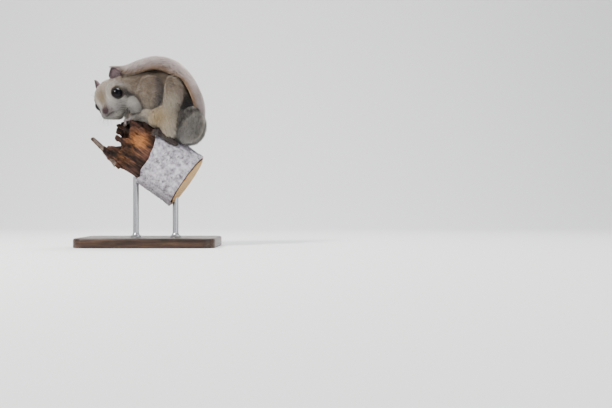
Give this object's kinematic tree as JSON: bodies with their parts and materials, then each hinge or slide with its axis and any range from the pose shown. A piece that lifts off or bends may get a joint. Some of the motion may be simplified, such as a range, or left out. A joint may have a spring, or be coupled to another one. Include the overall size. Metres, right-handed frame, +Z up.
{
  "type": "flying squirrel",
  "caption": "Life-size flying squirrel hunched on a short cut length of birch limb, flat tail laid over its back, on a flat base with two rods.",
  "frame": {"origin": "centre of the stand base's underside", "axes": "+Z up, the animal faces -X with its left flank to -Y"},
  "size_m": [0.118, 0.084, 0.1647],
  "materials": {
    "coat": "short dense fur, brownish grey",
    "pale_coat": "short dense fur, cream white",
    "tail_coat": "long soft hair in flat locks, pale greyish beige",
    "skin": "thin bare skin with short hair, pinkish grey",
    "eye": "wet gloss black",
    "perch_wood": "broken rotten wood, dark brown to orange brown",
    "perch_bark": "birch bark, white with fine grey mottling",
    "stand_wood": "dark satin",
    "stand_metal": "satin"
  },
  "bodies": {
    "root": {"head": "coat", "eye_left": "eye", "eye_right": "eye", "ear_left": "skin", "ear_right": "skin", "neck": "coat", "torso": "coat", "membrane_front_left": "coat", "membrane_front_right": "coat", "membrane_rear_left": "pale_coat", "membrane_rear_right": "pale_coat", "foreleg_left": "coat", "foreleg_right": "coat", "thigh_left": "coat", "thigh_right": "coat", "forepaw_left": "skin", "forepaw_right": "skin", "hindfoot_left": "skin", "hindfoot_right": "skin", "tail_root": "tail_coat", "tail_rise": "tail_coat", "tail_arch": "tail_coat", "tail_tip": "tail_coat", "perch_wood": "perch_wood", "perch_bark": "perch_bark", "stand_base": "stand_wood", "stand_rod_1": "stand_metal", "stand_rod_2": "stand_metal"}
  },
  "joints": []
}
